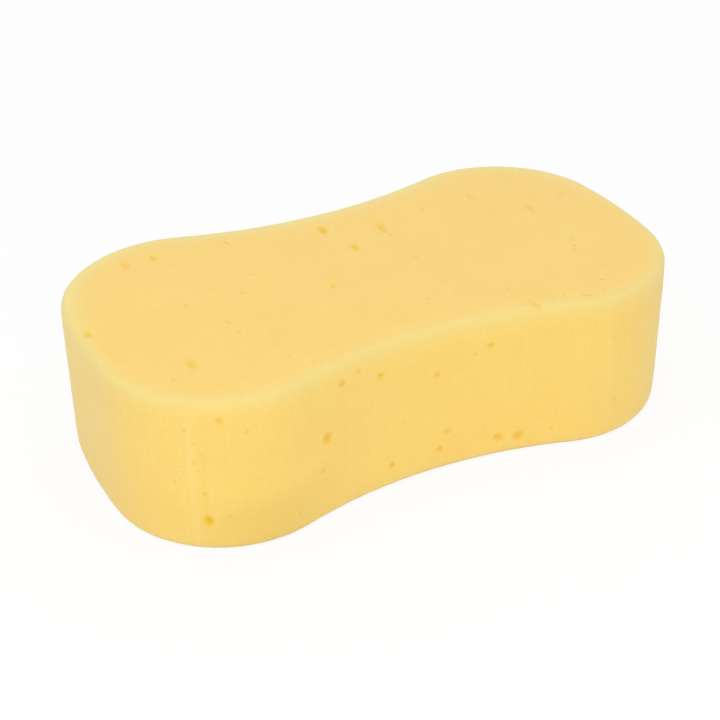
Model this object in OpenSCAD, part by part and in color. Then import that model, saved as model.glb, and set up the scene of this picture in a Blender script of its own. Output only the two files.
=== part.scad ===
// Jumbo cleaning sponge, cut in one piece from a block of open-cell foam.
//
// From above it is a figure of eight: two broad lobes and, between them, a waist that
// the hand closes round. The outline is eight arcs that run into each other: a gentle
// crown at each end, a round corner on each side of it, and a long hollow on each side
// of the waist. The wall is straight, its rims are soft, and bubbles that the cut has
// opened pit every face.
//
// The origin is the middle of the underside, with X along the length, Y across and Z up.

/* [Block] */
// Length over the two crowned ends
body_l = 220; // [190:1:250]
// Width over the lobes
body_w = 120; // [108:1:140]
// Thickness of the foam
body_h = 60; // [40:1:80]
// Radius of the soft rims, top and bottom
rim_r = 2.5; // [1.5:0.25:4]

/* [Outline] */
// Depth of the hollow on each side of the waist, measured from the lobes
waist_depth = 10.25; // [7:0.25:14]
// Radius of the four round corners
corner_r = 43.5; // [36:0.5:50]
// Radius of the crown at each end
end_r = 220; // [150:5:350]

/* [Voids] */
// Mouth of the largest bubbles that the cut has opened
void_d = 4; // [2:0.25:5]
// Mouth of the largest of the small bubbles scattered on every face
pinhole_d = 2; // [1:0.25:3]
// Small bubbles on the top
top_pinholes = 20; // [0:1:60]
// Small bubbles on the underside
underside_pinholes = 24; // [0:1:60]
// Small bubbles on the wall, all the way round
wall_pinholes = 56; // [0:1:120]
// Choice of scatter
scatter_seed = 11; // [1:1:99]

/* [Seam] */
// Distance round the wall from the middle of the front waist to the seam left by the cut
seam_at = 96; // [70:1:110]
// Width of the seam where it leaves the wall
seam_w = 2.2; // [1.5:0.1:4]
// How far the seam stands out of the wall
seam_proud = 0.4; // [0.2:0.05:0.8]

/* [Hidden] */
$fn = 96;

foam_colour = [0.98, 0.84, 0.5];
degrees_per_radian = 180 / PI;

// Centres of the arcs. Each pair of neighbours is tangent, so the line through their
// centres also runs through the point where they meet.
end_x = body_l / 2 - end_r;
corner_y = body_w / 2 - corner_r;
corner_x = end_x + sqrt(pow(end_r - corner_r, 2) - pow(corner_y, 2));
waist_half = body_w / 2 - waist_depth;
waist_r = (pow(corner_x, 2) + pow(waist_half - corner_y, 2) - pow(corner_r, 2)) / (2 * waist_depth);
waist_y = waist_half + waist_r;

// Half angle of an end's arc and of a waist's, and the whole angle of a corner's
end_a = atan2(corner_y, corner_x - end_x);
waist_a = atan2(corner_x, waist_y - corner_y);
corner_a = 90 + waist_a - end_a;

// Lengths of the arcs round a quarter of the outline, from a waist to an end
waist_run = waist_r * waist_a / degrees_per_radian;
corner_run = corner_r * corner_a / degrees_per_radian;
quarter_run = waist_run + corner_run + end_r * end_a / degrees_per_radian;

// The end and waist sectors stop short of the tangent points, so that their faces cut the
// corner discs cleanly. This is the step that it leaves, too slight to see.
joint_step = 0.12;
end_gap = sqrt(2 * joint_step / (1 / corner_r - 1 / end_r));
waist_gap = sqrt(2 * joint_step / (1 / corner_r + 1 / waist_r));
// How far the core reaches into the discs and sectors
core_lap = 12;

// Depth of a bubble's centre below the face, as a share of its mouth's radius
void_sink = 0.6;
// How far each bubble is turned from the one before it
bubble_turn = 37;
// Bubbles that overlap to make one long void, and how much smaller the outer ones are
chain = 3;
chain_taper = 0.85;
// The patch at the middle of the underside that stays whole
rest_patch_r = 14;
// Nearest that a scattered bubble's middle comes to where a rim starts to round
pinhole_clear = 1.5;
// Smallest scattered bubble, as a share of the largest
pinhole_least = 0.45;
// Distance that the bubbles on the wall keep from where two arcs meet, and from the seam
joint_clear = 4.5;

// The voids that show best on the top: place along as a share of the half length, place
// across as a share of the half width there, mouth as a share of void_d, and length over
// width, lying across the block
top_voids = [
    [-0.03, 0.72, 0.80, 2.1], [0.17, 0.51, 0.75, 2.2], [0.02, 0.40, 0.65, 1.7],
    [-0.16, -0.08, 0.60, 1.4], [0.71, 0.26, 0.60, 2.1], [-0.75, -0.55, 0.70, 1.4],
    [-0.60, 0.77, 0.65, 1.2], [-0.71, 0.77, 0.60, 1.2], [-0.95, 0.09, 0.60, 1.4],
    [0.57, 0.59, 0.60, 1.2], [0.33, 0.56, 0.35, 1.8], [-0.53, -0.30, 0.40, 1.0],
    [0.33, -0.65, 0.35, 1.0], [0.08, -0.52, 0.35, 1.6]
];

// The voids that show best on the wall: distance round it from the middle of the front
// waist, height as a share of the thickness, and mouth as a share of void_d
wall_voids = [
    [-90, 0.21, 1.00], [-44.5, 0.57, 0.95], [33.5, 0.12, 1.00], [25.5, 0.15, 0.90],
    [-37.5, 0.86, 0.75], [-21.5, 0.81, 0.70], [-84, 0.87, 0.65], [-47, 0.37, 0.65],
    [21.5, 0.80, 0.65], [1, 0.69, 0.65], [5.5, 0.27, 0.70], [2.5, 0.16, 0.65],
    [-17.5, 0.16, 0.60], [-74.5, 0.79, 0.45], [-30.5, 0.90, 0.45], [46, 0.15, 0.45],
    [-91.5, 0.38, 0.40], [-57.5, 0.13, 0.40], [-83, 0.25, 0.35], [-27, 0.38, 0.40],
    [15.5, 0.74, 0.35], [19.5, 0.24, 0.35], [37, 0.08, 0.30], [-95.5, 0.82, 0.30],
    [59.5, 0.90, 0.30], [48.5, 0.35, 0.30]
];

// A bubble is a twenty-sided cell, because the foam round it leaves it angular. Its
// corners are those of three rectangles whose sides are in the golden ratio, and each
// side joins three corners that lie an edge apart.
golden = (1 + sqrt(5)) / 2;
cell_edge = 2;
cell_corners = [for (a = [1, -1], b = [golden, -golden], turn = [0:2])
    turn == 0 ? [0, a, b] : turn == 1 ? [a, b, 0] : [b, 0, a]];
function edge_apart(i, j) = abs(norm(cell_corners[i] - cell_corners[j]) - cell_edge) < 0.001;
// A side with its corners clockwise as seen from outside
function clockwise(i, j, k) =
    cross(cell_corners[j] - cell_corners[i], cell_corners[k] - cell_corners[i]) * cell_corners[i] > 0
        ? [i, k, j] : [i, j, k];
last_corner = len(cell_corners) - 1;
cell_sides = [for (i = [0:last_corner], j = [i + 1:1:last_corner], k = [j + 1:1:last_corner])
    if (edge_apart(i, j) && edge_apart(j, k) && edge_apart(i, k)) clockwise(i, j, k)];

// Half the width of the outline at a distance x from the middle
function half_width(x) = abs(x) < waist_r * sin(waist_a)
    ? waist_y - sqrt(pow(waist_r, 2) - pow(x, 2))
    : corner_y + sqrt(max(0, pow(corner_r, 2) - pow(abs(x) - corner_x, 2)));

// How far inside the outline a point is
function inside(x, y) =
    abs(x) < waist_r * sin(waist_a)
        ? norm([x, waist_y - abs(y)]) - waist_r
    : abs(y) < corner_y
        ? end_r - norm([abs(x) - end_x, y])
        : corner_r - norm([abs(x) - corner_x, abs(y) - corner_y]);

// A point of the outline at a distance q along the quarter that runs from the middle of
// the front waist to the middle of the right end, with the outward direction there
function quarter_point(q) =
    q < waist_run
        ? let (a = q / waist_r * degrees_per_radian)
          [waist_r * sin(a), waist_r * cos(a) - waist_y, -sin(a), -cos(a)]
    : q < waist_run + corner_run
        ? let (a = 270 - waist_a + (q - waist_run) / corner_r * degrees_per_radian)
          [corner_x + corner_r * cos(a), corner_r * sin(a) - corner_y, cos(a), sin(a)]
        : let (a = -end_a + (q - waist_run - corner_run) / end_r * degrees_per_radian)
          [end_x + end_r * cos(a), end_r * sin(a), cos(a), sin(a)];

// How far along its own quarter a place round the wall is, from the waist's middle. A
// place s is measured from the middle of the front waist, positive towards the right end
function quarter_place(s) = abs(s) > quarter_run ? 2 * quarter_run - abs(s) : abs(s);

// The same point and direction anywhere round the wall
function wall_point(s) =
    let (
        p = quarter_point(quarter_place(s)),
        side = s < 0 ? -1 : 1,
        face = abs(s) > quarter_run ? -1 : 1
    ) [side * p[0], face * p[1], side * p[2], face * p[3]];

// Is a place round the wall clear of the points where arcs meet, and of the seam?
function clear_of_joints(s) =
    abs(quarter_place(s) - waist_run) > joint_clear
    && abs(quarter_place(s) - waist_run - corner_run) > joint_clear
    && abs(s + seam_at) > joint_clear;

// The block's section from the inside to the wall, with both rims rounded
module section(depth) {
    square([depth - rim_r, body_h]);
    translate([0, rim_r]) square([depth, body_h - 2 * rim_r]);
    for (z = [rim_r, body_h - rim_r])
        translate([depth - rim_r, z]) circle(rim_r);
}

// One lobe's corner, as a full disc whose inner half lies in the block
module corner_disc() {
    translate([corner_x, corner_y, 0]) mirror([1, 0, 0])
        rotate_extrude() section(corner_r);
}

// The crowned end, from one corner to the other
module end_sector() {
    a = end_a - end_gap / end_r * degrees_per_radian;
    translate([end_x, 0, 0])
        rotate_extrude(angle = 2 * a, start = -a)
            translate([end_r - corner_r, 0]) section(corner_r);
}

// The hollow side of the waist, revolved about a centre outside the block
module waist_sector() {
    a = waist_a - waist_gap / waist_r * degrees_per_radian;
    translate([0, waist_y, 0])
        rotate_extrude(angle = 2 * a, start = 270 - a)
            translate([waist_r + corner_r, 0]) mirror([1, 0]) section(corner_r);
}

// What the discs and sectors enclose
module core() {
    x = corner_x + core_lap;
    y = corner_y + core_lap;
    translate([-x, -y, 0]) cube([2 * x, 2 * y, body_h]);
}

module block() {
    for (x = [0, 1]) mirror([x, 0, 0]) {
        end_sector();
        for (y = [0, 1]) mirror([0, y, 0]) corner_disc();
    }
    for (y = [0, 1]) mirror([0, y, 0]) waist_sector();
    core();
}

// The raised line that the cutting blade leaves where its path closes
module seam() {
    bead_r = (pow(seam_w / 2, 2) + pow(seam_proud, 2)) / (2 * seam_proud);
    p = wall_point(-seam_at);
    inset = bead_r - seam_proud;
    lowest = rim_r + seam_w / 2;
    translate([p[0] - inset * p[2], p[1] - inset * p[3], lowest])
        cylinder(h = body_h - 2 * lowest, r = bead_r);
}

// A bubble whose mouth is d wide on a face at the origin, with the foam on the far side
// of the face from the direction n
module bubble(d, n, turn = 0) {
    scale_up = d / 2 * sqrt(1 + pow(void_sink, 2)) / norm(cell_corners[0]);
    translate(-n * void_sink * d / 2) rotate([turn, 0, 2 * turn])
        polyhedron(cell_corners * scale_up, cell_sides);
}

// A long void: bubbles in a row across the block, the middle one largest
module bubble_chain(d, ratio, n) {
    middle = (chain - 1) / 2;
    reach = d * (ratio - 1) / 2;
    for (i = [0:chain - 1])
        translate([0, reach * (i - middle) / middle, 0])
            bubble(d * (i == middle ? 1 : chain_taper), n, i * bubble_turn);
}

module voids_on_top() {
    for (v = top_voids) {
        x = v[0] * body_l / 2;
        translate([x, v[1] * half_width(x), body_h])
            if (v[3] > 1) bubble_chain(v[2] * void_d, v[3], [0, 0, 1]);
            else bubble(v[2] * void_d, [0, 0, 1]);
    }
}

module voids_on_wall() {
    for (i = [0:len(wall_voids) - 1]) {
        v = wall_voids[i];
        p = wall_point(v[0]);
        translate([p[0], p[1], v[1] * body_h])
            bubble(v[2] * void_d, [p[2], p[3], 0], i * bubble_turn);
    }
}

// Small bubbles scattered over a flat face at height z that looks along n
module flat_pinholes(count, seed, z, n) {
    along = rands(-body_l / 2, body_l / 2, count + 1, seed);
    across = rands(-body_w / 2, body_w / 2, count + 1, seed + 1);
    size = rands(pinhole_least, 1, count + 1, seed + 2);
    for (i = [1:1:count]) {
        x = along[i];
        y = across[i];
        if (inside(x, y) > rim_r + pinhole_clear && (n[2] > 0 || norm([x, y]) > rest_patch_r))
            translate([x, y, z])
                bubble(size[i] * pinhole_d, n, i * bubble_turn);
    }
}

// Small bubbles scattered all round the wall
module wall_pinhole_scatter(count, seed) {
    round_it = rands(-2, 2, count + 1, seed);
    lowest = rim_r + pinhole_clear;
    up = rands(lowest, body_h - lowest, count + 1, seed + 1);
    size = rands(pinhole_least, 1, count + 1, seed + 2);
    for (i = [1:1:count]) {
        s = round_it[i] * quarter_run;
        p = wall_point(s);
        if (clear_of_joints(s))
            translate([p[0], p[1], up[i]])
                bubble(size[i] * pinhole_d, [p[2], p[3], 0], i * bubble_turn);
    }
}

module sponge() {
    color(foam_colour) difference() {
        union() {
            block();
            seam();
        }
        voids_on_top();
        voids_on_wall();
        flat_pinholes(top_pinholes, scatter_seed, body_h, [0, 0, 1]);
        flat_pinholes(underside_pinholes, scatter_seed + 10, 0, [0, 0, -1]);
        wall_pinhole_scatter(wall_pinholes, scatter_seed + 20);
    }
}

sponge();
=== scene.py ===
"""The looks of a jumbo cleaning sponge: one figure-of-eight block of open-cell foam.

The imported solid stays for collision. One foam piece stands for it here, on the same
outline, with a softly uneven skin, the voids that the cut has opened and a faint seam.
Lengths are in metres, with the origin in the middle of the underside and Z up.
"""

import logging
import math
import random
from dataclasses import dataclass, field
from enum import Enum

import bmesh
import bpy
from mathutils import Matrix, Vector, noise
from mathutils.kdtree import KDTree


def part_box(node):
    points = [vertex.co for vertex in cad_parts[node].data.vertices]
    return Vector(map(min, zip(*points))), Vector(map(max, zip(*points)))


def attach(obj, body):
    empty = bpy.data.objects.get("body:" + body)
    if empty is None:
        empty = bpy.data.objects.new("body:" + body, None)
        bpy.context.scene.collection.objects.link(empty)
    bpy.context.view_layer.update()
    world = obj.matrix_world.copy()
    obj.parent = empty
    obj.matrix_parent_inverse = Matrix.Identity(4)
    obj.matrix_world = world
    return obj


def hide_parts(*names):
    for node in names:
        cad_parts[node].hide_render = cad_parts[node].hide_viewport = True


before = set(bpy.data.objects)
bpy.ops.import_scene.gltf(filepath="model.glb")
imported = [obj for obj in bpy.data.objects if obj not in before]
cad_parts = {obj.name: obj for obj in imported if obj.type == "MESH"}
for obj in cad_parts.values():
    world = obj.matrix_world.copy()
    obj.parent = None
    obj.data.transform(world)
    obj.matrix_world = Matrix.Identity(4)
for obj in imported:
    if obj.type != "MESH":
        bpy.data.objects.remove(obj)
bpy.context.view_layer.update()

MM = 0.001
MERGE = 1e-6
WHITE = (1.0, 1.0, 1.0, 1.0)
Z_UP = Vector((0.0, 0.0, 1.0))
LOG = logging.getLogger("sponge")


def smooth_step(low: float, high: float, value: float) -> float:
    """Rise smoothly from 0 at low to 1 at high.

    Args:
        low: Where the rise starts.
        high: Where the rise ends.
        value: Where to read it.

    Returns:
        A number from 0 to 1.
    """
    share = min(1.0, max(0.0, (value - low) / (high - low)))
    return share * share * (3.0 - 2.0 * share)


def vertex_tree(bm: bmesh.types.BMesh) -> KDTree:
    """Make a search tree of a mesh's vertices, by their order."""
    tree = KDTree(len(bm.verts))
    for index, v in enumerate(bm.verts):
        tree.insert(v.co, index)
    tree.balance()
    return tree


class Face(Enum):
    """The three faces of the block that a void can open on."""

    TOP = "top"
    WALL = "wall"
    UNDERSIDE = "underside"


@dataclass
class Outline:
    """The block's figure of eight from above: eight arcs that run into each other.

    They are two flat end crowns, four corners and two waist hollows. The length, the
    width, the depth of a hollow and two of the radii are given. The rest is worked out
    from them: the arcs' centres and angles, and the runs, which are the arcs' lengths
    within a quarter of the outline.
    """

    length: float
    width: float
    waist_depth: float = 10.25 * MM
    corner_r: float = 43.5 * MM
    end_r: float = 220.0 * MM
    end_x: float = field(init=False)
    corner_x: float = field(init=False)
    corner_y: float = field(init=False)
    waist_r: float = field(init=False)
    waist_y: float = field(init=False)
    waist_half: float = field(init=False)
    end_angle: float = field(init=False)
    waist_angle: float = field(init=False)
    waist_run: float = field(init=False)
    corner_run: float = field(init=False)
    quarter_run: float = field(init=False)

    def __post_init__(self) -> None:
        """Work out the arcs' centres and lengths from the sizes."""
        self.end_x = self.length / 2 - self.end_r
        self.corner_y = self.width / 2 - self.corner_r
        reach = math.sqrt((self.end_r - self.corner_r) ** 2 - self.corner_y ** 2)
        self.corner_x = self.end_x + reach
        half = self.width / 2 - self.waist_depth
        self.waist_r = (self.corner_x ** 2 + (half - self.corner_y) ** 2
                        - self.corner_r ** 2) / (2 * self.waist_depth)
        self.waist_y = half + self.waist_r
        self.end_angle = math.atan2(self.corner_y, reach)
        self.waist_angle = math.atan2(self.corner_x, self.waist_y - self.corner_y)
        self.waist_half = self.waist_r * math.sin(self.waist_angle)
        self.waist_run = self.waist_r * self.waist_angle
        self.corner_run = self.corner_r * (math.pi / 2 + self.waist_angle - self.end_angle)
        self.quarter_run = self.waist_run + self.corner_run + self.end_r * self.end_angle

    def _quarter(self, run: float) -> tuple[float, float, float, float]:
        """Give the point and outward direction along the front right quarter."""
        if run < self.waist_run:
            a = run / self.waist_r
            return (self.waist_r * math.sin(a), self.waist_r * math.cos(a) - self.waist_y,
                    -math.sin(a), -math.cos(a))
        if run < self.waist_run + self.corner_run:
            a = 1.5 * math.pi - self.waist_angle + (run - self.waist_run) / self.corner_r
            return (self.corner_x + self.corner_r * math.cos(a),
                    self.corner_r * math.sin(a) - self.corner_y, math.cos(a), math.sin(a))
        a = (run - self.waist_run - self.corner_run) / self.end_r - self.end_angle
        return (self.end_x + self.end_r * math.cos(a), self.end_r * math.sin(a),
                math.cos(a), math.sin(a))

    def at(self, around: float) -> tuple[Vector, Vector]:
        """Give a place round the outline.

        Args:
            around: Distance from the middle of the front waist, positive to the right.

        Returns:
            The point, with Z at 0, and the outward direction there.
        """
        run = abs(around)
        side = -1.0 if around < 0 else 1.0
        face = 1.0
        if run > self.quarter_run:
            run, face = 2 * self.quarter_run - run, -1.0
        x, y, nx, ny = self._quarter(run)
        return Vector((side * x, face * y, 0.0)), Vector((side * nx, face * ny, 0.0))

    def half_width(self, x: float) -> float:
        """Give half the outline's width at a distance x from its middle."""
        if abs(x) < self.waist_half:
            return self.waist_y - math.sqrt(self.waist_r ** 2 - x * x)
        return self.corner_y + math.sqrt(
            max(0.0, self.corner_r ** 2 - (abs(x) - self.corner_x) ** 2))

    def inside(self, x: float, y: float) -> float:
        """Give how far inside the outline a point is."""
        if abs(x) < self.waist_half:
            return math.hypot(x, self.waist_y - abs(y)) - self.waist_r
        if abs(y) < self.corner_y:
            return self.end_r - math.hypot(abs(x) - self.end_x, y)
        return self.corner_r - math.hypot(abs(x) - self.corner_x, abs(y) - self.corner_y)


@dataclass
class Void:
    """A bubble in the foam that the cut has opened, a crease or a dark speck.

    Its mouth is its width, its ratio its length over that, and tint and dark are the
    strengths of its deeper colour, which is painted shade, and of a speck's colour, which a
    speck has of its own and which in an open void is more painted shade.
    """

    spot: Vector
    normal: Vector
    along: Vector
    mouth: float
    ratio: float
    depth: float
    tint: float
    dark: float

    @property
    def reach(self) -> float:
        """Give half the length of its mouth."""
        return self.mouth * self.ratio / 2

    def share(self, place: Vector, margin: float = 0.0) -> float:
        """Give how far out a point lies: 0 in the middle, 1 at the mouth plus a margin."""
        offset = place - self.spot
        across = offset.dot(self.normal.cross(self.along))
        half = self.mouth / 2
        return math.hypot(offset.dot(self.along) / (half * self.ratio + margin),
                          across / (half + margin))


@dataclass(frozen=True)
class Streak:
    """A faint upright line on the wall.

    Its place and half width are in millimetres, its ends are shares of the height, its
    relief is in millimetres, and its strength is that of a paler colour, partly painted
    highlight, below zero for a deeper one, partly painted shade.
    """

    around: float
    half: float
    low: float
    high: float
    relief: float
    pale_and_highlight: float
    soft_end: float = 0.12
    reach: float = 3.0

    def strength(self, around: float, up: float) -> float:
        """Give how strong it is at a place round the wall and a share of the height."""
        off = (around / MM - self.around) / self.half
        if abs(off) > self.reach:
            return 0.0
        fade = smooth_step(self.low - self.soft_end, self.low + self.soft_end, up)
        fade *= 1 - smooth_step(self.high - self.soft_end, self.high + self.soft_end, up)
        return math.exp(-off * off) * fade


@dataclass(frozen=True)
class Swell:
    """One scale of the skin's unevenness, with its height and width in millimetres."""

    high: float
    wide: float
    shift: tuple[float, float, float] = (0.0, 0.0, 0.0)

    def at(self, place: Vector) -> float:
        """Give its height at a place."""
        return self.high * noise.noise(place * (1 / (self.wide * MM)) + Vector(self.shift))


SWELLS = (Swell(0.16, 34.0, (3.1, 1.7, 9.2)), Swell(0.07, 9.0, (7.3, 4.1, 2.2)),
          Swell(0.045, 3.2))

# The saw's upright ripple on the wall: its height, its width and its length, in millimetres
RIPPLE_HIGH, RIPPLE_WIDE, RIPPLE_LONG = 0.07, 4.5, 90.0

# The cut line at the front left, its paler colour partly painted highlight on its ridge,
# the deeper line beside it, partly painted shade, the fainter ones, partly painted
# highlight and shade in the same way, and the broad patch of painted shade at the foot of
# the left lobe
STREAKS = (
    Streak(-94.2, 0.9, 0.0, 0.90, 0.08, 0.44), Streak(-90.4, 1.2, 0.18, 0.72, -0.03, -0.14),
    Streak(-97.5, 1.4, 0.1, 0.80, 0.02, 0.08), Streak(-86.5, 2.0, 0.1, 0.85, 0.02, 0.06),
    Streak(66.7, 1.0, 0.1, 0.92, 0.03, 0.15), Streak(71.0, 2.6, 0.2, 0.95, -0.01, -0.08),
    Streak(-70.0, 24.0, -0.3, 0.32, 0.0, -0.50),
)

# The voids that show best on the top: share of the half length, share of the half width
# there, width of the mouth in millimetres, length over width, and strength of the colour,
# which is painted shade
TOP_VOIDS = (
    (-0.02, 0.69, 4.2, 2.0, 0.95), (0.17, 0.50, 3.9, 2.5, 0.70), (0.02, 0.33, 3.4, 2.1, 0.84),
    (-0.16, -0.12, 3.1, 1.8, 0.56), (-0.74, -0.56, 3.9, 1.8, 0.70), (-0.71, 0.74, 3.5, 2.0, 0.52),
    (-0.61, 0.73, 3.2, 1.7, 0.66), (-0.96, 0.09, 3.1, 1.8, 0.74), (0.56, 0.55, 3.7, 1.8, 0.42),
    (0.70, 0.23, 3.1, 2.7, 0.55), (0.36, 0.59, 2.0, 3.4, 0.20), (0.17, -0.03, 3.1, 1.6, 0.18),
    (-0.54, -0.33, 2.2, 1.4, 0.36), (-0.46, 0.77, 2.6, 1.3, 0.18), (-0.41, -0.87, 2.5, 1.4, 0.28),
    (-0.46, -0.71, 3.6, 1.3, 0.15), (0.69, -0.68, 3.0, 1.3, 0.18), (0.355, -0.93, 3.0, 2.2, 0.50),
)

# The dark specks on the top: shares as above, width in millimetres and length over width
TOP_SPECKS = (
    (-0.36, 0.28, 0.8, 1.6), (0.17, 0.37, 1.0, 1.3), (0.33, -0.70, 0.9, 1.6),
    (0.47, -0.87, 1.0, 1.3), (0.60, -0.90, 1.0, 1.3), (-0.82, -0.72, 0.8, 1.6),
    (0.78, 0.05, 0.9, 1.3), (0.81, 0.77, 0.9, 1.3), (0.70, -0.29, 0.8, 1.8),
    (0.64, -0.33, 0.7, 1.3), (0.87, 0.28, 0.7, 1.4), (0.87, -0.28, 0.8, 1.4),
    (0.41, 0.88, 0.8, 2.6), (-0.26, 0.63, 0.7, 1.6), (0.07, -0.60, 1.1, 1.5),
)

# The short creases on the top: shares as above, length in millimetres, and the angle that
# each is turned by from the width. Then the width that a crease is cut, and that shows.
CREASES = (
    (-0.35, 0.78, 5.0, 0.3), (-0.63, 0.09, 2.6, 1.0), (-0.55, -0.21, 3.0, 0.6),
    (0.855, 0.37, 5.0, 1.05), (0.84, 0.33, 3.2, 0.7), (0.68, -0.36, 2.6, 0.1),
    (0.665, -0.40, 2.2, 1.3), (0.53, -0.91, 4.5, 1.05), (0.63, -0.79, 2.6, 1.0),
    (0.34, 0.55, 3.2, 0.9), (-0.44, 0.08, 1.8, 0.4),
)
CREASE_CUT, CREASE_SEEN = 0.8, 0.75

# The voids that show best on the wall: millimetres round it from the middle of the front
# waist, share of the height, width of the mouth in millimetres, and strength of the colour,
# which is painted shade
WALL_VOIDS = (
    (-90, 0.21, 4.6, 1.00), (-44.5, 0.545, 4.4, 0.82), (33.5, 0.12, 4.4, 0.72),
    (25.5, 0.135, 3.7, 0.72), (-37.5, 0.86, 3.4, 0.72), (-21.5, 0.81, 3.2, 0.66),
    (-84, 0.875, 3.0, 0.56), (-46.8, 0.345, 2.9, 0.55), (21.5, 0.80, 2.9, 0.60),
    (1, 0.69, 2.9, 0.52), (5.5, 0.27, 3.1, 0.66), (2.5, 0.155, 3.0, 0.72),
    (-17.3, 0.155, 2.9, 0.72), (-90.3, 0.39, 2.4, 0.50), (-27, 0.34, 2.1, 0.32),
    (-50.5, 0.36, 1.8, 0.18), (68.3, 0.72, 2.2, 0.28), (-93.3, 0.60, 2.0, 0.30),
)

# The dark specks on the wall, in the same way
WALL_SPECKS = (
    (-75.3, 0.79, 1.7), (-30.5, 0.895, 1.8), (46, 0.145, 1.4), (-57.7, 0.14, 1.5),
    (-82.7, 0.24, 1.4), (15.6, 0.76, 1.5), (19.5, 0.24, 1.4), (37, 0.075, 1.4),
    (-95.5, 0.81, 1.3), (48.6, 0.34, 1.2), (-12, 0.43, 1.2), (70.5, 0.275, 1.1),
    (-100.5, 0.46, 1.0), (-97.5, 0.57, 0.9), (88, 0.80, 1.1), (-91.5, 0.55, 1.0),
    (-90.6, 0.48, 0.9), (-91.0, 0.66, 0.9), (-92.5, 0.73, 0.9),
)

# How much of a void's tint darkens it too, with the specks' colour as more painted shade,
# and the tint and dark of the other kinds, whose tint is painted shade as well. The
# specks' mouths are also grown a little, so that they show as wide as in the photograph.
TOP_VOID_SHADE, WALL_VOID_SHADE = 0.01, 0.06
CREASE_TINT, CREASE_DARK = 0.1, 0.34
TOP_SPECK_GROWTH, TOP_SPECK_TINT, TOP_SPECK_DARK = 1.25, 0.1, 0.22
WALL_SPECK_GROWTH, WALL_SPECK_TINT, WALL_SPECK_DARK = 1.15, 0.22, 0.09

# The range that each kind's length over width, and its turn on its face, is drawn from
TOP_TURN, TOP_SPECK_TURN, STREWN_TURN = (-0.2, 0.1), (-0.7, 0.5), (-0.7, 0.7)
WALL_RATIO, WALL_TURN = (1.0, 1.2), (-0.6, 0.2)
WALL_SPECK_RATIO, WALL_SPECK_TURN = (1.0, 1.4), (0.6, 1.8)
STREWN_RATIO = (1.0, 1.7)


@dataclass(frozen=True)
class Strewn:
    """Voids strewn over a face that the photograph doesn't show.

    Their places are drawn from the two ranges, as open_void reads them. The smallest are
    dark specks, and the others get more painted shade, a deeper colour, as they grow.
    """

    face: Face
    count: int
    first: tuple[float, float]
    second: tuple[float, float]
    smallest: float = 0.9
    spread: float = 3.2
    rarity: float = 2.2
    speck_below: float = 1.6
    speck_dark: float = 0.25

    def mouth(self, draw: random.Random) -> float:
        """Draw a width in millimetres, mostly a small one."""
        return self.smallest + self.spread * draw.random() ** self.rarity

    def tint(self, mouth: float) -> float:
        """Give the strength of the deeper colour, painted shade, for a width."""
        return 0.18 * (mouth - 0.2)

    def dark(self, mouth: float) -> float:
        """Give the strength of the specks' colour for a width."""
        return self.speck_dark if mouth < self.speck_below else 0.0


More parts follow.
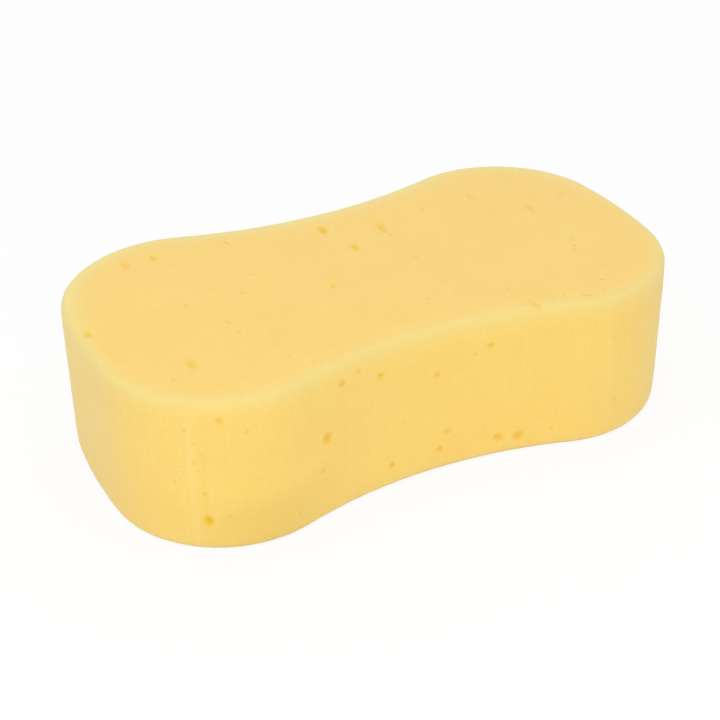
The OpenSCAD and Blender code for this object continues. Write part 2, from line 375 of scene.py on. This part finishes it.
@dataclass
class FoamBlock:
    """The block of foam, its skin, its voids and its seam.

    The top is a patch of columns and rows, patch_inset inside the outline. Rings lie
    round it, four of them on the flat at flat_rings millimetres from the outline, and the
    rest over the rim and down the wall. The top droops towards the rim and the wall leans
    in at it. The rim mark, a painted highlight, and the mark about it, a painted sheen,
    start at a share of the rim's radius and fade from there, and each goes from its front
    to its back strength over the back span. A void's depth is a share of its mouth, plus
    its tint's and its dark's.
    depth is a share of its mouth, plus its tint's and its dark's.
    """

    outline: Outline
    height: float
    columns: int = 140
    rows: int = 90
    smoothing: int = 6
    rim_r: float = 2.7 * MM
    flat_rings: tuple[float, ...] = (6.6, 5.3, 4.2, 3.4)
    patch_inset: float = 8.0 * MM
    rim_steps: int = 6
    wall_step: float = 1.3 * MM
    droop: float = 0.45 * MM
    droop_reach: float = 10.0 * MM
    lean: float = 0.3 * MM
    lean_reach: float = 9.0 * MM
    mark_start: float = 0.3
    rim_fade: float = 2.3 * MM
    rim_front: float = 0.85
    rim_back: float = 0.25
    painted_sheen_fade: float = 4.3 * MM
    painted_sheen_widening: float = 1.8 * MM
    painted_sheen_front: float = 0.42
    painted_sheen_back: float = 0.92
    lower_rim_share: float = 0.35
    back_span: tuple[float, float] = (-10.0 * MM, 35.0 * MM)
    rest_height: float = 0.5 * MM
    rest_edge: tuple[float, float] = (2.0 * MM, 9.0 * MM)
    depth_shares: tuple[float, float, float] = (0.06, 0.10, 0.25)
    divisions: tuple[tuple[float, int], ...] = ((1.3 * MM, 2), (0.3 * MM, 1))
    sink_fade: tuple[float, float] = (0.1, 1.15)
    tint_fade: tuple[float, float] = (0.05, 1.35)
    dark_fade: tuple[float, float] = (0.1, 1.3)
    ripple: float = 0.11
    seed: int = 7
    corner_at: float = field(init=False)
    voids: list[Void] = field(init=False, default_factory=list)

    def __post_init__(self) -> None:
        """Find where the top patch's corners lie round the outline."""
        self.corner_at = self.outline.waist_run + self.outline.corner_run / 2

    def _inset(self, around: float, depth: float) -> Vector:
        """Give a point at a depth inside the outline."""
        point, outward = self.outline.at(around)
        return point - outward * depth

    def _patch(self, across: float, up: float) -> Vector:
        """Blend the patch's four sides, so that the grid follows the outline.

        Args:
            across: Place along the length, from -1 to 1.
            up: Place across the width, from -1 to 1.

        Returns:
            The point on the top, with Z at 0.
        """
        flip_x, flip_y = Vector((-1, 1, 1)), Vector((1, -1, 1))
        front = self._inset(across * self.corner_at, self.patch_inset)
        back = front * flip_y
        run = self.outline.quarter_run
        right = self._inset(run + up * (run - self.corner_at), self.patch_inset)
        left = right * flip_x
        corner = self._inset(self.corner_at, self.patch_inset)
        s, t = (across + 1) / 2, (up + 1) / 2
        corners = (corner * flip_x * (1 - s) * (1 - t) + corner * s * (1 - t)
                   + corner * flip_x * flip_y * (1 - s) * t + corner * flip_y * s * t)
        return front * (1 - t) + back * t + left * (1 - s) + right * s - corners

    def _place(self, across: float, up: float) -> float:
        """Give how far round the outline a point of the patch's edge lies."""
        run = self.outline.quarter_run
        if abs(across) > 1 - MERGE:
            place = run + up * (run - self.corner_at)
            return math.copysign(place, across)
        place = across * self.corner_at
        return place if up < 0 else math.copysign(2 * run - abs(place), across)

    def _rings(self) -> list[tuple[float, float]]:
        """List the rings below the patch, each as its inset and its height over the middle."""
        top = self.height / 2
        rings = [(inset * MM, top) for inset in self.flat_rings]
        for step in range(self.rim_steps + 1):
            a = math.pi / 2 * step / self.rim_steps
            rings.append((self.rim_r * (1 - math.sin(a)), top - self.rim_r * (1 - math.cos(a))))
        wall = top - self.rim_r
        steps = round(wall / self.wall_step)
        rings += [(0.0, wall * (1 - step / steps)) for step in range(1, steps + 1)]
        return rings

    def body(self) -> bmesh.types.BMesh:
        """Build the closed block: a patch for the top, rings down to the middle, a mirror.

        Returns:
            The block as a bmesh, resting on Z = 0.
        """
        bm = bmesh.new()
        bmesh.ops.create_grid(bm, x_segments=self.columns, y_segments=self.rows, size=1.0)
        around = bm.verts.layers.float.new("around")
        for v in bm.verts:
            across, up = v.co.x, v.co.y
            v[around] = self._place(across, up)
            v.co = self._patch(across, up)
            v.co.z = self.height / 2
        edges = [e for e in bm.edges if e.is_boundary]
        inner = [v for v in bm.verts if not v.is_boundary]
        for _ in range(self.smoothing):
            bmesh.ops.smooth_vert(bm, verts=inner, factor=0.5, use_axis_x=True,
                                  use_axis_y=True)
        for inset, z in self._rings():
            made = bmesh.ops.extrude_edge_only(bm, edges=edges)["geom"]
            edges = [g for g in made if isinstance(g, bmesh.types.BMEdge)]
            for v in (g for g in made if isinstance(g, bmesh.types.BMVert)):
                v.co = self._inset(v[around], inset)
                v.co.z = z
        bmesh.ops.mirror(bm, geom=bm.verts[:] + bm.edges[:] + bm.faces[:], axis="Z",
                         matrix=Matrix.Identity(4), merge_dist=MERGE)
        bmesh.ops.remove_doubles(bm, verts=bm.verts, dist=MERGE)
        bmesh.ops.translate(bm, verts=bm.verts, vec=(0, 0, self.height / 2))
        bmesh.ops.recalc_face_normals(bm, faces=bm.faces)
        return bm

    def mark_rims(self, bm: bmesh.types.BMesh) -> None:
        """Mark the top, the rim's painted highlight and the painted sheen about it, for the
        finish.

        Args:
            bm: The block, still smooth. It gets the marks of the top, of the rim's painted
                highlight and of the painted sheen about it.
        """
        top, rim, painted_sheen = (bm.verts.layers.float.new(name) for name in ("top", "rim", "painted_sheen"))
        start = self.mark_start * self.rim_r
        for v in bm.verts:
            p = v.co
            inset = self.outline.inside(p.x, p.y)
            below = min(self.height - p.z, p.z)
            v[top] = smooth_step(0.0, 3.0 * MM, inset - below)
            inward, down = max(0.0, inset - start), max(0.0, below - start)
            # The lower rim gets less of the painted highlight and sheen. Towards the back the
            # painted sheen grows and the painted highlight fades.
            share = 1.0 if p.z > self.height / 2 else self.lower_rim_share
            back = smooth_step(*self.back_span, p.y)
            # The rim mark: painted highlight along the cut rim.
            edge = math.hypot(inward, 1.05 * down) / self.rim_fade
            strength = self.rim_front + (self.rim_back - self.rim_front) * back
            v[rim] = share * strength * math.exp(-edge * edge)
            # The mark about the rim: painted sheen, wider at the back.
            edge = math.hypot(inward, 0.85 * down) / (self.painted_sheen_fade
                                                      + self.painted_sheen_widening * back)
            strength = self.painted_sheen_front + (self.painted_sheen_back - self.painted_sheen_front) * back
            v[painted_sheen] = share * strength * math.exp(-edge * edge)

    def weather(self, bm: bmesh.types.BMesh) -> None:
        """Make the skin softly uneven, as cut foam is, and keep it flat where it rests.

        Args:
            bm: The block, which also gets the streaks' marks: their paler colour, partly painted
                highlight, and their deeper colour, partly painted shade.
        """
        around = bm.verts.layers.float["around"]
        pale_and_highlight, deep_and_shade = (bm.verts.layers.float.new(name) for name in ("pale_and_highlight", "deep_and_shade"))
        bm.normal_update()
        moves = []
        for v in bm.verts:
            p, n = v.co, v.normal
            wall = 1.0 - abs(n.z)
            move = sum(swell.at(p) for swell in SWELLS)
            run = Vector((p.x / (RIPPLE_WIDE * MM), p.y / (RIPPLE_WIDE * MM),
                          p.z / (RIPPLE_LONG * MM)))
            move += RIPPLE_HIGH * wall * noise.noise(run)
            if wall > 0.5:
                # The streaks' paler colour is partly painted highlight on the seam's ridge. Their
                # deeper colour is partly painted shade beside it, and painted shade at the foot
                # of the left lobe.
                for streak in STREAKS:
                    strength = streak.strength(v[around], p.z / self.height)
                    move += streak.relief * strength
                    v[pale_and_highlight] += max(0.0, streak.pale_and_highlight) * strength
                    v[deep_and_shade] += max(0.0, -streak.pale_and_highlight) * strength
            inset = self.outline.inside(p.x, p.y)
            if p.z < self.rest_height:
                move = -abs(move) * (1 - smooth_step(*self.rest_edge, inset))
            drop = (self.droop * smooth_step(0.0, 0.3, n.z)
                    * (1 - smooth_step(0.0, self.droop_reach, inset)))
            below = min(self.height - p.z, p.z)
            lean = (self.lean * smooth_step(0.0, 0.3, wall)
                    * (1 - smooth_step(0.0, self.lean_reach, below)))
            moves.append(n * move * MM - Z_UP * drop - Vector((n.x, n.y, 0.0)) * lean)
        for v, move in zip(bm.verts, moves):
            v.co += move

    def _surface(self, face: Face, a: float, b: float) -> tuple[Vector, Vector, Vector]:
        """Find a place on a face.

        Args:
            face: Which face.
            a: Share of the half length on a flat face, or millimetres round the wall.
            b: Share of the half width there on a flat face, or of the height on the wall.

        Returns:
            The point, the outward direction, and the direction that a long void lies in.
        """
        if face is Face.WALL:
            point, outward = self.outline.at(a * MM)
            point.z = b * self.height
            return point, outward, outward.cross(Z_UP)
        x = a * self.outline.length / 2
        y = b * self.outline.half_width(x)
        if face is Face.TOP:
            return Vector((x, y, self.height)), Z_UP.copy(), Vector((0, 1, 0))
        return Vector((x, y, 0)), -Z_UP, Vector((0, 1, 0))

    def open_void(self, face: Face, a: float, b: float, mouth: float, ratio: float = 1.0,
                  tint: float = 0.5, dark: float = 0.0, turn: float = 0.0) -> None:
        """Add a void unless it would run into another one.

        Args:
            face: The face that it opens on.
            a: First place on the face, as in _surface.
            b: Second place on the face.
            mouth: Width of its mouth in millimetres.
            ratio: Length of its mouth over its width.
            tint: Strength of its deeper colour, and of its depth with it.
            dark: Strength of a speck's dark colour.
            turn: Angle that a long void is turned by on its face.
        """
        spot, normal, along = self._surface(face, a, b)
        along = Matrix.Rotation(turn, 3, normal) @ along
        least, by_tint, by_dark = self.depth_shares
        depth = mouth * MM * (least + by_tint * tint + by_dark * dark)
        void = Void(spot, normal, along, mouth * MM, ratio, depth, tint, dark)
        if all((other.spot - spot).length > other.reach + void.reach * 0.8
               for other in self.voids):
            self.voids.append(void)

    def scatter(self) -> None:
        """Open the voids that the photograph shows, then others on the hidden faces."""
        draw = random.Random(self.seed)
        for a, b, mouth, ratio, tint in TOP_VOIDS:
            self.open_void(Face.TOP, a, b, mouth, ratio, tint, TOP_VOID_SHADE * tint,
                           draw.uniform(*TOP_TURN))
        for a, b, length, turn in CREASES:
            self.open_void(Face.TOP, a, b, CREASE_CUT, length / CREASE_SEEN, CREASE_TINT,
                           CREASE_DARK, turn)
        for a, b, mouth, ratio in TOP_SPECKS:
            self.open_void(Face.TOP, a, b, mouth * TOP_SPECK_GROWTH, ratio, TOP_SPECK_TINT,
                           TOP_SPECK_DARK, draw.uniform(*TOP_SPECK_TURN))
        for a, b, mouth, tint in WALL_VOIDS:
            self.open_void(Face.WALL, a, b, mouth, draw.uniform(*WALL_RATIO), tint,
                           WALL_VOID_SHADE * tint, draw.uniform(*WALL_TURN))
        for a, b, mouth in WALL_SPECKS:
            self.open_void(Face.WALL, a, b, mouth * WALL_SPECK_GROWTH,
                           draw.uniform(*WALL_SPECK_RATIO), WALL_SPECK_TINT, WALL_SPECK_DARK,
                           draw.uniform(*WALL_SPECK_TURN))
        round_wall = 4 * self.outline.quarter_run / MM
        for strewn in (Strewn(Face.WALL, 70, (128.0, round_wall - 190.0), (0.08, 0.92)),
                       Strewn(Face.UNDERSIDE, 50, (-0.93, 0.93), (-0.9, 0.9))):
            for _ in range(strewn.count):
                a = draw.uniform(*strewn.first)
                if strewn.face is Face.WALL and a > round_wall / 2:
                    a -= round_wall
                b = draw.uniform(*strewn.second)
                mouth = strewn.mouth(draw)
                self.open_void(strewn.face, a, b, mouth, draw.uniform(*STREWN_RATIO),
                               strewn.tint(mouth), strewn.dark(mouth),
                               draw.uniform(*STREWN_TURN))

    def divide(self, bm: bmesh.types.BMesh, margin: float, cuts: int) -> None:
        """Divide the skin finely where the voids will open.

        Args:
            bm: The block.
            margin: How far past a void's mouth the skin is divided.
            cuts: Cuts across each edge.
        """
        tree = vertex_tree(bm)
        near = {index for void in self.voids
                for place, index, _ in tree.find_range(void.spot, void.reach + margin)
                if void.share(place, margin) < 1.0}
        bm.verts.index_update()
        edges = [e for e in bm.edges if all(v.index in near for v in e.verts)]
        bmesh.ops.subdivide_edges(bm, edges=edges, cuts=cuts, use_grid_fill=True)

    def carve(self, bm: bmesh.types.BMesh) -> None:
        """Sink the voids into the skin, and mark the painted shade in them and the specks'
        colour.

        Args:
            bm: The block, already divided finely there.
        """
        tint, dark = (bm.verts.layers.float.new(name) for name in ("void", "speck_and_shade"))
        noise.seed_set(self.seed)  # noise_vector reads its shifts from the seed
        bm.verts.ensure_lookup_table()
        tree = vertex_tree(bm)
        for void in self.voids:
            for place, index, _ in tree.find_range(void.spot, void.reach * 1.6):
                v = bm.verts[index]
                ripple = noise.noise_vector(place * (1.3 / void.mouth) + void.spot * 900)
                out = void.share(place + ripple * void.mouth * self.ripple)
                v.co -= void.normal * void.depth * (1 - smooth_step(*self.sink_fade, out))
                # The void mark is painted shade: a deeper colour for the shade and bounced light
                # inside.
                v[tint] = max(v[tint], void.tint * (1 - smooth_step(*self.tint_fade, out)))
                # The speck mark: the specks' own dark colour, and more painted shade in the
                # voids.
                v[dark] = max(v[dark], void.dark * (1 - smooth_step(*self.dark_fade, out)))

    def build(self) -> bmesh.types.BMesh:
        """Build the block with its skin and its voids.

        Returns:
            The finished block as a bmesh.
        """
        self.scatter()
        bm = self.body()
        for margin, cuts in self.divisions:
            self.divide(bm, margin, cuts)
        self.mark_rims(bm)
        self.weather(bm)
        self.carve(bm)
        for face in bm.faces:
            face.smooth = True
        return bm


class Tone:
    """A shader socket that Python's operators add Math nodes to."""

    def __init__(self, paint: "Paint", socket: bpy.types.NodeSocket) -> None:
        """Wrap a socket of one material's nodes."""
        self.paint = paint
        self.socket = socket

    def __add__(self, other: "Tone | float") -> "Tone":
        """Add."""
        return self.paint.math("ADD", self, other)

    def __radd__(self, other: "Tone | float") -> "Tone":
        """Add from the left."""
        return self.paint.math("ADD", other, self)

    def __sub__(self, other: "Tone | float") -> "Tone":
        """Subtract."""
        return self.paint.math("SUBTRACT", self, other)

    def __rsub__(self, other: "Tone | float") -> "Tone":
        """Subtract from the left."""
        return self.paint.math("SUBTRACT", other, self)

    def __mul__(self, other: "Tone | float") -> "Tone":
        """Multiply."""
        return self.paint.math("MULTIPLY", self, other)

    def __rmul__(self, other: "Tone | float") -> "Tone":
        """Multiply from the left."""
        return self.paint.math("MULTIPLY", other, self)


class Paint:
    """Makes the nodes of one material, or of the world."""

    def __init__(self, owner: bpy.types.Material | bpy.types.World) -> None:
        """Start without nodes."""
        owner.use_nodes = True
        self.tree = owner.node_tree
        self.tree.nodes.clear()

    def node(self, kind: str, settings: dict | None = None,
             sockets: dict | None = None) -> bpy.types.Node:
        """Add a node.

        Args:
            kind: Its type, without ShaderNode.
            settings: Its own properties, set first.
            sockets: Values or links of its inputs, by name or number.

        Returns:
            The node.
        """
        node = self.tree.nodes.new("ShaderNode" + kind)
        for key, value in (settings or {}).items():
            setattr(node, key, value)
        for key, value in (sockets or {}).items():
            if isinstance(value, Tone):
                self.tree.links.new(value.socket, node.inputs[key])
            else:
                node.inputs[key].default_value = value
        return node

    def tone(self, node: bpy.types.Node, output: str | int = 0) -> Tone:
        """Wrap one of a node's outputs."""
        return Tone(self, node.outputs[output])

    def math(self, operation: str, *values: "Tone | float") -> Tone:
        """Add a Math node."""
        return self.tone(self.node("Math", {"operation": operation},
                                   dict(enumerate(values))))

    def between(self, value: Tone, low: float, high: float, start: float = 0.0,
                end: float = 1.0) -> Tone:
        """Map a value smoothly from low and high to start and end."""
        return self.tone(self.node(
            "MapRange", {"interpolation_type": "SMOOTHSTEP"},
            {"Value": value, "From Min": low, "From Max": high,
             "To Min": start, "To Max": end}))

    def blend(self, share: "Tone | float", first: "Tone | tuple",
              second: "Tone | tuple") -> Tone:
        """Mix two colours."""
        mix = self.node("Mix", {"data_type": "RGBA"}, {0: share, 6: first, 7: second})
        return self.tone(mix, 2)

    def shader(self, kind: str, sockets: dict) -> Tone:
        """Add a shader node and wrap what it gives."""
        return self.tone(self.node(kind, {}, sockets))

    def seen(self) -> Tone:
        """Give 1 where the camera looks, also by a reflection or through glass, and 0 else."""
        path = self.node("LightPath")
        camera, glossy, clear = (self.tone(path, f"Is {ray} Ray")
                                 for ray in ("Camera", "Glossy", "Transmission"))
        return self.math("MAXIMUM", self.math("MAXIMUM", camera, glossy), clear)

    def stretched(self, scale: tuple[float, float, float]) -> Tone:
        """Give Object coordinates with each axis scaled."""
        place = self.tone(self.node("TexCoord"), "Object")
        return self.tone(self.node("Mapping", {}, {"Vector": place, "Scale": scale}))

    def grain(self, size: float, detail: float = 2.0, rough: float = 0.5,
              upright: float = 1.0) -> Tone:
        """Give noise of a size in metres, drawn out along Z by upright."""
        place = self.stretched((1 / size, 1 / size, 1 / (size * upright)))
        return self.tone(self.node("TexNoise", {}, {
            "Vector": place, "Scale": 1.0, "Detail": detail, "Roughness": rough}), 0)

    def mark(self, name: str) -> Tone:
        """Read one of the piece's own attributes."""
        return self.tone(self.node("Attribute", {"attribute_name": name}), "Fac")


def linear(red: int, green: int, blue: int) -> tuple[float, float, float, float]:
    """Turn a colour of 0 to 255 a channel into the shader's linear one."""
    def channel(value: int) -> float:
        share = value / 255
        return share / 12.92 if share <= 0.04045 else ((share + 0.055) / 1.055) ** 2.4
    return channel(red), channel(green), channel(blue), 1.0


@dataclass(frozen=True)
class FoamFinish:
    """Soft yellow foam: a fine grain, painted light on its rims and top, painted shade in its
    voids.
    """

    wall: tuple[float, ...] = linear(255, 216, 117)
    # Painted sheen: the top's colour, a little pinker than the wall's, stands in for the sheen of
    # the light from above.
    top: tuple[float, ...] = linear(255, 213, 119)
    warm: tuple[float, ...] = linear(248, 202, 104)
    light: tuple[float, ...] = linear(254, 223, 133)
    # Painted highlight: the pale, greener tint of the rim's highlight band.
    rim: tuple[float, ...] = linear(238, 215, 134)
    # Painted sheen: the paler band about the rim, strongest at the back.
    painted_sheen: tuple[float, ...] = linear(243, 225, 146)
    # Partly painted highlight: the paler streaks along the seam.
    pale_and_highlight: tuple[float, ...] = linear(253, 228, 146)
    # Painted shade at the foot of the left lobe, and partly in the deeper streaks.
    deep_and_shade: tuple[float, ...] = linear(226, 197, 100)
    # Painted shade: the deeper, more orange colour inside the voids.
    void: tuple[float, ...] = linear(242, 194, 40)
    # Painted shade: deeper still in the middle of the deepest voids.
    core_shade: tuple[float, ...] = linear(244, 182, 40)
    # The specks' own dark colour, also used as more painted shade in the voids.
    speck_and_shade: tuple[float, ...] = linear(186, 152, 62)
    roughness: float = 0.92
    specular: float = 0.17
    sheen: float = 0.28
    sheen_roughness: float = 0.5
    glow_through: float = 0.35
    glow_colours: tuple[float, float, float] = (1.0, 0.75, 0.4)
    glow_depth: float = 1.5 * MM
    cell: float = 0.55 * MM
    cell_relief: float = 0.22 * MM

    def colour(self, paint: Paint, fine: Tone, crisp: Tone, patchy: Tone) -> Tone:
        """Lay the colours over each other, from the foam itself to the specks.

        Args:
            paint: The material's nodes.
            fine: The finer grain.
            crisp: The finest grain.
            patchy: The grain of half a centimetre.

        Returns:
            The colour.
        """
        flat = paint.mark("top")
        broad = paint.grain(26 * MM, 2.0)
        streaks = paint.grain(3.0 * MM, 3.0, 0.6, upright=18.0)
        # The top differs from the wall by painted sheen from the light above.
        colour = paint.blend(flat, self.wall, self.top)
        colour = paint.blend(paint.between(broad, 0.35, 0.65, 0.0, 0.18), colour, self.warm)
        colour = paint.blend(paint.between(patchy, 0.4, 0.75, 0.0, 0.2), colour, self.light)
        upright = paint.between(streaks, 0.5, 0.8, 0.0, 0.34) * (1 - flat)
        colour = paint.blend(upright, colour, self.light)
        speckle = paint.between(fine, 0.42, 0.68) * (0.38 - 0.12 * flat)
        colour = paint.blend(speckle, colour, self.warm)
        colour = paint.blend(paint.between(crisp, 0.5, 0.75, 0.0, 0.25), colour, self.light)
        # Painted light: the rim's pale tint is painted highlight and the band about it painted
        # sheen. The pale streaks are partly painted highlight, and the deep streaks partly
        # painted shade.
        for mark, tint in (("painted_sheen", self.painted_sheen), ("rim", self.rim), ("pale_and_highlight", self.pale_and_highlight),
                           ("deep_and_shade", self.deep_and_shade)):
            colour = paint.blend(paint.mark(mark), colour, tint)
        # Painted shade in the voids, deepest in their middles.
        void = paint.mark("void")
        colour = paint.blend(void, colour, self.void)
        colour = paint.blend(paint.between(void, 0.75, 1.15), colour, self.core_shade)
        # The specks' dark colour, and more painted shade in the voids.
        return paint.blend(paint.mark("speck_and_shade"), colour, self.speck_and_shade)

    def make(self) -> bpy.types.Material:
        """Build the material.

        Returns:
            The foam's material.
        """
        material = bpy.data.materials.new("soft yellow foam")
        paint = Paint(material)
        patchy = paint.grain(5 * MM, 3.0, 0.6)
        fine = paint.grain(0.8 * MM, 2.0, 0.7)
        crisp = paint.grain(0.5 * MM, 1.0, 0.5)
        cells = paint.tone(paint.node(
            "TexVoronoi", {"feature": "SMOOTH_F1"},
            {"Vector": paint.stretched((1 / self.cell,) * 3), "Scale": 1.0,
             "Smoothness": 0.6}), "Distance")
        relief = cells * 0.7 + crisp * 0.5 + patchy * 1.2
        bump = paint.node("Bump", {}, {"Height": relief, "Strength": 0.4,
                                       "Distance": self.cell_relief})
        foam = paint.shader("BsdfPrincipled", {
            "Base Color": self.colour(paint, fine, crisp, patchy),
            "Roughness": paint.between(fine, 0.3, 0.7, self.roughness - 0.06, 1.0),
            "Normal": paint.tone(bump),
            "Specular IOR Level": self.specular,
            "Sheen Weight": self.sheen,
            "Sheen Roughness": self.sheen_roughness,
            "Subsurface Weight": self.glow_through,
            "Subsurface Radius": self.glow_colours,
            "Subsurface Scale": self.glow_depth,
        })
        paint.node("OutputMaterial", {}, {"Surface": foam})
        return material


@dataclass
class Sponge:
    """The whole object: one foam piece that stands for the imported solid."""

    block: FoamBlock
    finish: FoamFinish
    name: str = "foam_block"

    def build(self) -> bpy.types.Object:
        """Build the piece, dress it and put it in the CAD solid's place.

        Returns:
            The finished piece.
        """
        bm = self.block.build()
        mesh = bpy.data.meshes.new(self.name)
        bm.to_mesh(mesh)
        bm.free()
        mesh.materials.append(self.finish.make())
        body = bpy.data.objects.new(self.name, mesh)
        bpy.context.scene.collection.objects.link(body)
        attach(body, "root")
        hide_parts("sponge")
        triangles = sum(len(p.vertices) - 2 for p in body.data.polygons)
        LOG.info("%s: %d voids, %d triangles", self.name, len(self.block.voids), triangles)
        return body


@dataclass(frozen=True)
class Lamp:
    """A square soft lamp that looks at the sponge."""

    name: str
    place: tuple[float, float, float]
    size: float
    watts: float
    aim: tuple[float, float, float] = (0.0, 0.0, 0.03)

    def hang(self) -> None:
        """Put it in the scene."""
        data = bpy.data.lights.new(self.name, "AREA")
        data.size = self.size
        data.energy = self.watts
        lamp = bpy.data.objects.new(self.name, data)
        spot = Vector(self.place)
        lamp.matrix_world = Matrix.Translation(spot) @ (
            spot - Vector(self.aim)).to_track_quat("Z", "Y").to_matrix().to_4x4()
        bpy.context.scene.collection.objects.link(lamp)


@dataclass
class Studio:
    """The camera, the lamps and the plain white surroundings."""

    azimuth: float = math.radians(-26.192)
    elevation: float = math.radians(32.031)
    distance: float = 562.491 * MM
    roll: float = math.radians(-0.941)
    target: Vector = field(default_factory=lambda: Vector((-10.318, -12.282, 30.0)) * MM)
    lens: float = 77.02
    sensor: float = 36.0
    fill: float = 0.725
    lamps: tuple[Lamp, ...] = (Lamp("front left", (-0.56, -0.38, 0.6), 0.6, 1.2),
                               Lamp("front", (-0.2, -1.5, 0.5), 0.9, 4.5),
                               Lamp("top", (0.0, 0.0, 1.6), 1.2, 3.45))
    floor_half: float = 12.0
    floor_gap: float = 0.05 * MM
    floor_grey: float = 0.8
    floor_white: float = 0.98
    floor_glow: float = 0.88

    def camera(self) -> None:
        """Place the camera where the photograph was taken from."""
        a, e = self.azimuth, self.elevation
        back = Vector((math.sin(a) * math.cos(e), -math.cos(a) * math.cos(e), math.sin(e)))
        right = Z_UP.cross(back).normalized()
        up = back.cross(right)
        c, s = math.cos(self.roll), math.sin(self.roll)
        turned_right, turned_up = right * c + up * s, up * c - right * s
        data = bpy.data.cameras.new("camera")
        data.lens = self.lens
        data.sensor_width = self.sensor
        data.clip_start = 0.01
        data.clip_end = 20.0
        camera = bpy.data.objects.new("camera", data)
        camera.matrix_world = Matrix.Translation(self.target + back * self.distance) @ Matrix(
            (turned_right, turned_up, back)).transposed().to_4x4()
        bpy.context.scene.collection.objects.link(camera)
        bpy.context.scene.camera = camera

    def floor(self) -> None:
        """Lay a plain white floor that keeps the sponge's shadow."""
        bm = bmesh.new()
        bmesh.ops.create_grid(bm, x_segments=1, y_segments=1, size=self.floor_half)
        mesh = bpy.data.meshes.new("floor")
        bm.to_mesh(mesh)
        bm.free()
        floor = bpy.data.objects.new("floor", mesh)
        floor.location.z = -self.floor_gap
        material = bpy.data.materials.new("white floor")
        paint = Paint(material)
        seen = paint.seen()
        shade = paint.blend(seen, (self.floor_grey,) * 3 + (1.0,),
                            (self.floor_white,) * 3 + (1.0,))
        matte = paint.shader("BsdfDiffuse", {"Color": shade})
        glow = paint.shader("Emission", {"Color": WHITE, "Strength": 1.0})
        mix = paint.shader("MixShader", {0: seen * self.floor_glow, 1: matte, 2: glow})
        paint.node("OutputMaterial", {}, {"Surface": mix})
        mesh.materials.append(material)
        bpy.context.scene.collection.objects.link(floor)

    def surroundings(self) -> None:
        """Make the world plain: white to the camera, and a soft fill on the sponge."""
        world = bpy.data.worlds.new("surroundings")
        bpy.context.scene.world = world
        paint = Paint(world)
        fill = paint.shader("Background", {"Color": WHITE, "Strength": self.fill})
        white = paint.shader("Background", {"Color": WHITE, "Strength": 1.0})
        mix = paint.shader("MixShader", {0: paint.seen(), 1: fill, 2: white})
        paint.node("OutputWorld", {}, {"Surface": mix})

    def build(self) -> None:
        """Set up everything around the sponge."""
        bpy.context.scene.view_settings.view_transform = "Standard"
        self.camera()
        self.surroundings()
        for lamp in self.lamps:
            lamp.hang()
        self.floor()
        LOG.info("studio: camera, %d lamps, surroundings and floor", len(self.lamps))


def main() -> None:
    """Build the sponge and the studio, and note the sizes."""
    logging.basicConfig(level=logging.INFO, format="%(name)s %(message)s")
    low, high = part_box("sponge")
    outline = Outline(length=high.x - low.x, width=high.y - low.y)
    Sponge(FoamBlock(outline, height=high.z - low.z), FoamFinish()).build()
    Studio().build()


if __name__ == "__main__":
    main()
